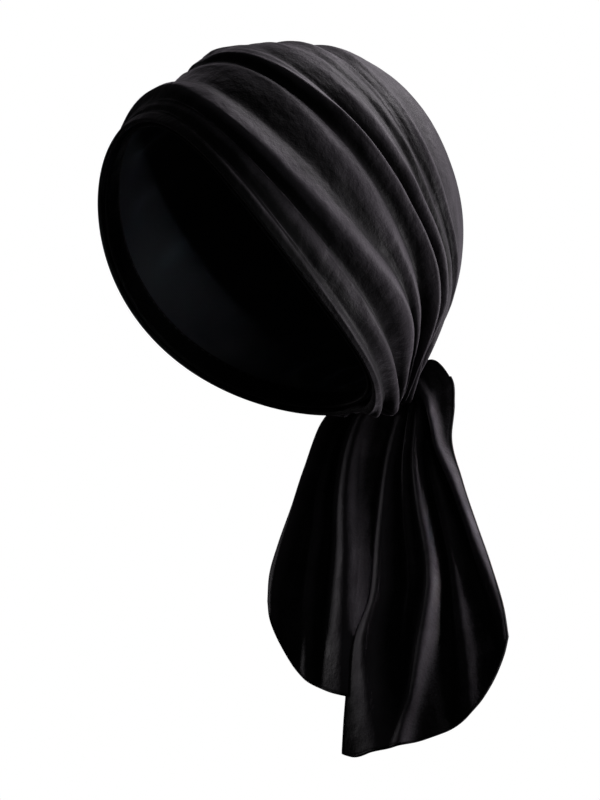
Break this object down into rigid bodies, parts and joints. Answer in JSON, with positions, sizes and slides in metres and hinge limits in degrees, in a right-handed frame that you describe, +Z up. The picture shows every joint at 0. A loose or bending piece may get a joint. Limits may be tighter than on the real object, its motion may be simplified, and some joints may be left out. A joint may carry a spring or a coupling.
{
  "type": "turban headwrap",
  "caption": "Soft velvet head wrap: a pleated hollow cap with its folds drawn back to a gather at the nape, a lining, an inner hem band, and a knot with wide hanging tails.",
  "frame": {"origin": "the middle of the head hole, halfway between the nape and the forehead", "axes": "+Z up on an upright head, -Y the way the wearer faces, +X the wearer's left"},
  "size_m": [0.1684, 0.2002, 0.3831],
  "materials": {
    "crown": "soft black velvet with a grey sheen",
    "lining": "matt black jersey",
    "hem_band": "matt black woven band",
    "knot": "soft black velvet with a grey sheen",
    "tail_left": "soft black velvet with a grey sheen",
    "tail_right": "soft black velvet with a grey sheen"
  },
  "bodies": {
    "root": {"crown": "crown", "lining": "lining", "hem_band": "hem_band", "knot": "knot", "tail_left": "tail_left", "tail_right": "tail_right"}
  },
  "joints": []
}
